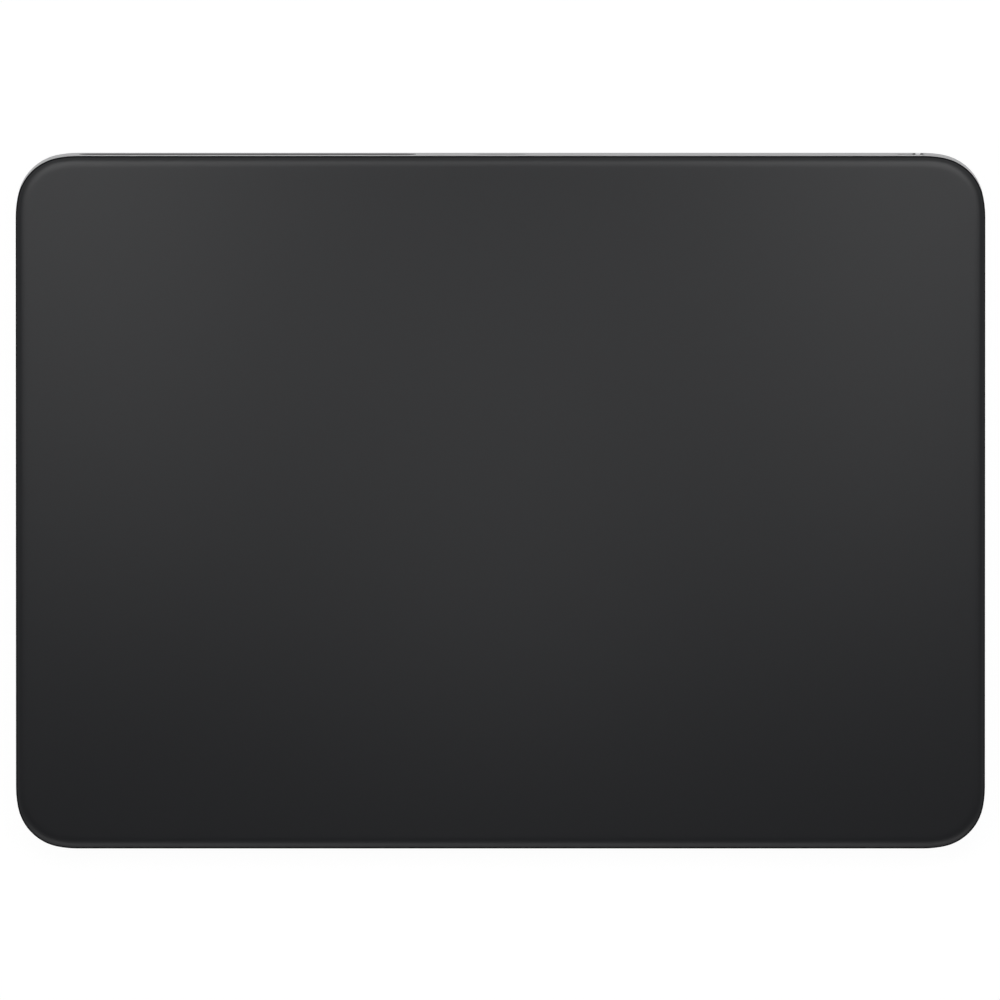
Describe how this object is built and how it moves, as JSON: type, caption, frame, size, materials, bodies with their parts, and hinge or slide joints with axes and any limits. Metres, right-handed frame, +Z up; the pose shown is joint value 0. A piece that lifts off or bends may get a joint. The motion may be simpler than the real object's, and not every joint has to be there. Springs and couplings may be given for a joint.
{
  "type": "trackpad",
  "caption": "Wedge-shaped desktop trackpad: rounded black glass plate on a low aluminium case with charge port, sliding power switch, antenna window, sprung feet and a click actuator.",
  "frame": {"origin": "centre of the footprint, on the surface it stands on", "axes": "+X to the right of the user, +Y to the rear wall with the charge port, +Z up"},
  "size_m": [0.16, 0.1149, 0.0109],
  "materials": {
    "black_glass": "matt etched black glass",
    "case_aluminium": "bead-blasted silver anodised",
    "window_plastic": "fine matt dark grey",
    "cover_film": "plain silver-grey matt",
    "foot_rubber": "soft dark grey",
    "plate_steel": "plain rolled",
    "screw_steel": "plated",
    "spring_steel": "polished strip",
    "tinned_steel": "bright tin",
    "tape": "black foam tape",
    "sensor_laminate": "dark solder mask",
    "circuit_board": "dark green solder mask",
    "chip_resin": "moulded black resin",
    "port_plastic": "moulded black",
    "contact_gold": "gold plated",
    "battery_pouch": "dull foil pouch",
    "flex_film": "amber polyimide film",
    "switch_nub": "satin anodised",
    "green_mark": "plain green",
    "coil_copper": "enamelled copper",
    "magnet": "nickel plated"
  },
  "bodies": {
    "body": {"antenna": "flex_film", "antenna_window": "window_plastic", "base_plate": "plate_steel", "base_screws": "screw_steel", "battery_adhesive": "tape", "battery_board": "circuit_board", "battery_cell": "battery_pouch", "battery_lead": "flex_film", "board_screws": "screw_steel", "bottom_cover": "cover_film", "case": "case_aluminium", "force_sensor_front_left": "spring_steel", "force_sensor_front_right": "spring_steel", "force_sensor_rear_left": "spring_steel", "force_sensor_rear_right": "spring_steel", "glass_adhesive": "tape", "haptic_coils": "coil_copper", "haptic_frame": "plate_steel", "haptic_ribbon": "flex_film", "haptic_screws": "screw_steel", "haptic_spring_left": "spring_steel", "haptic_spring_right": "spring_steel", "logic_board": "circuit_board", "port_board": "circuit_board", "port_contacts": "contact_gold", "port_insulator": "port_plastic", "port_ribbon": "flex_film", "port_screws": "screw_steel", "port_shell": "tinned_steel", "power_chip": "chip_resin", "processor_chip": "chip_resin", "radio_chip": "chip_resin", "sensor_board": "sensor_laminate", "sensor_ribbon": "flex_film", "shield_can": "tinned_steel", "strain_gauge_front_left": "flex_film", "strain_gauge_front_right": "flex_film", "strain_gauge_rear_left": "flex_film", "strain_gauge_rear_right": "flex_film", "switch_board": "circuit_board", "switch_body": "port_plastic", "switch_ribbon": "flex_film", "switch_screw": "screw_steel", "touch_chip": "chip_resin", "touch_glass": "black_glass"},
    "foot_front_left": {"foot_front_left": "foot_rubber", "foot_post_front_left": "screw_steel"},
    "foot_front_right": {"foot_front_right": "foot_rubber", "foot_post_front_right": "screw_steel"},
    "foot_rear_left": {"foot_rear_left": "foot_rubber", "foot_post_rear_left": "screw_steel"},
    "foot_rear_right": {"foot_rear_right": "foot_rubber", "foot_post_rear_right": "screw_steel"},
    "power_switch": {"switch_slider": "switch_nub", "switch_on_strip": "green_mark"},
    "haptic_weight": {"haptic_armature": "spring_steel", "haptic_magnets": "magnet"}
  },
  "joints": [
    {"name": "foot_front_left_press", "type": "slide", "parent": "body", "child": "foot_front_left", "axis": [0, 0, 1], "range_m": [0, 0.0002], "stiffness_N_per_m": 16000, "springref_m": -0.00005, "deforming": ["force_sensor_front_left", "strain_gauge_front_left"]},
    {"name": "foot_front_right_press", "type": "slide", "parent": "body", "child": "foot_front_right", "axis": [0, 0, 1], "range_m": [0, 0.0002], "stiffness_N_per_m": 16000, "springref_m": -0.00005, "deforming": ["force_sensor_front_right", "strain_gauge_front_right"]},
    {"name": "foot_rear_left_press", "type": "slide", "parent": "body", "child": "foot_rear_left", "axis": [0, 0, 1], "range_m": [0, 0.0002], "stiffness_N_per_m": 16000, "springref_m": -0.00005, "deforming": ["force_sensor_rear_left", "strain_gauge_rear_left"]},
    {"name": "foot_rear_right_press", "type": "slide", "parent": "body", "child": "foot_rear_right", "axis": [0, 0, 1], "range_m": [0, 0.0002], "stiffness_N_per_m": 16000, "springref_m": -0.00005, "deforming": ["force_sensor_rear_right", "strain_gauge_rear_right"]},
    {"name": "power_switch_slide", "type": "slide", "parent": "body", "child": "power_switch", "axis": [1, 0, 0], "range_m": [-0.0024, 0]},
    {"name": "haptic_weight_shake", "type": "slide", "parent": "body", "child": "haptic_weight", "axis": [1, 0, 0], "range_m": [-0.00025, 0.00025], "stiffness_N_per_m": 3200, "deforming": ["haptic_spring_left", "haptic_spring_right"]}
  ]
}
